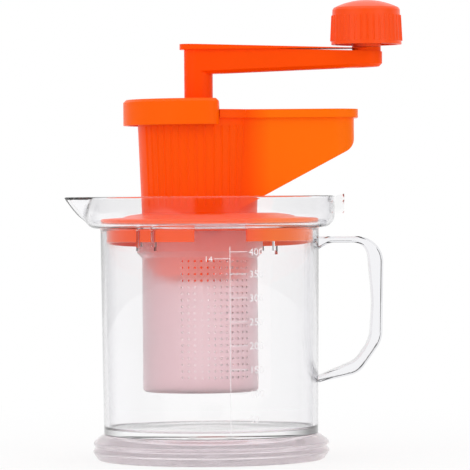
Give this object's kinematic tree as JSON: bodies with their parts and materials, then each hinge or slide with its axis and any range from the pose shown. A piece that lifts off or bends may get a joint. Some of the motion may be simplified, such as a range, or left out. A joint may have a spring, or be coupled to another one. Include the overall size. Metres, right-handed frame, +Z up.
{
  "type": "manual wheatgrass juicer",
  "caption": "Hand cranked juicer head with hopper, auger and hanging strainer, standing on a clear measuring cup with pouring lip, handle and suction foot.",
  "frame": {"origin": "on the measuring cup's axis at table level, the middle of the suction foot's flat lip", "axes": "+Z up along the cup's axis, +X to the cup's handle, -X to the pouring lip"},
  "size_m": [0.1343, 0.0988, 0.1807],
  "materials": {
    "clear_plastic": "clear, polished",
    "soft_clear_vinyl": "soft, clear, faintly pink",
    "orange_plastic": "semi-gloss, slightly translucent",
    "frosted_plastic": "frosted, translucent",
    "bright_steel": "drawn",
    "white_nylon": "satin"
  },
  "bodies": {
    "cup": {"measuring_cup": "clear_plastic", "cup_handle": "clear_plastic", "suction_foot": "soft_clear_vinyl"},
    "head": {"juicer_body": "orange_plastic", "bearing_cap": "orange_plastic", "grinding_ring": "white_nylon", "shaft_bush": "white_nylon"},
    "crank": {"crank_arm": "orange_plastic", "knob_pin": "orange_plastic", "drive_shaft": "bright_steel", "post_clip": "bright_steel", "thrust_washer": "white_nylon", "auger": "orange_plastic", "grinding_cone": "white_nylon"},
    "knob": {"crank_knob": "orange_plastic"},
    "strainer": {"filter_cup": "frosted_plastic"}
  },
  "joints": [
    {"name": "head_lift", "type": "slide", "parent": "cup", "child": "head", "axis": [0, 0, 1], "range_m": [0, 0.09]},
    {"name": "crank_spin", "type": "hinge", "parent": "head", "child": "crank", "pos_m": [-0.00395, 0, 0.14], "axis": [0, 0, 1], "continuous": true},
    {"name": "knob_spin", "type": "hinge", "parent": "crank", "child": "knob", "pos_m": [0.06245, 0, 0.17], "axis": [0, 0, 1], "continuous": true},
    {"name": "strainer_twist", "type": "hinge", "parent": "head", "child": "strainer", "pos_m": [-0.00395, 0, 0.085], "axis": [0, 0, 1], "range_deg": [0, 30]}
  ]
}
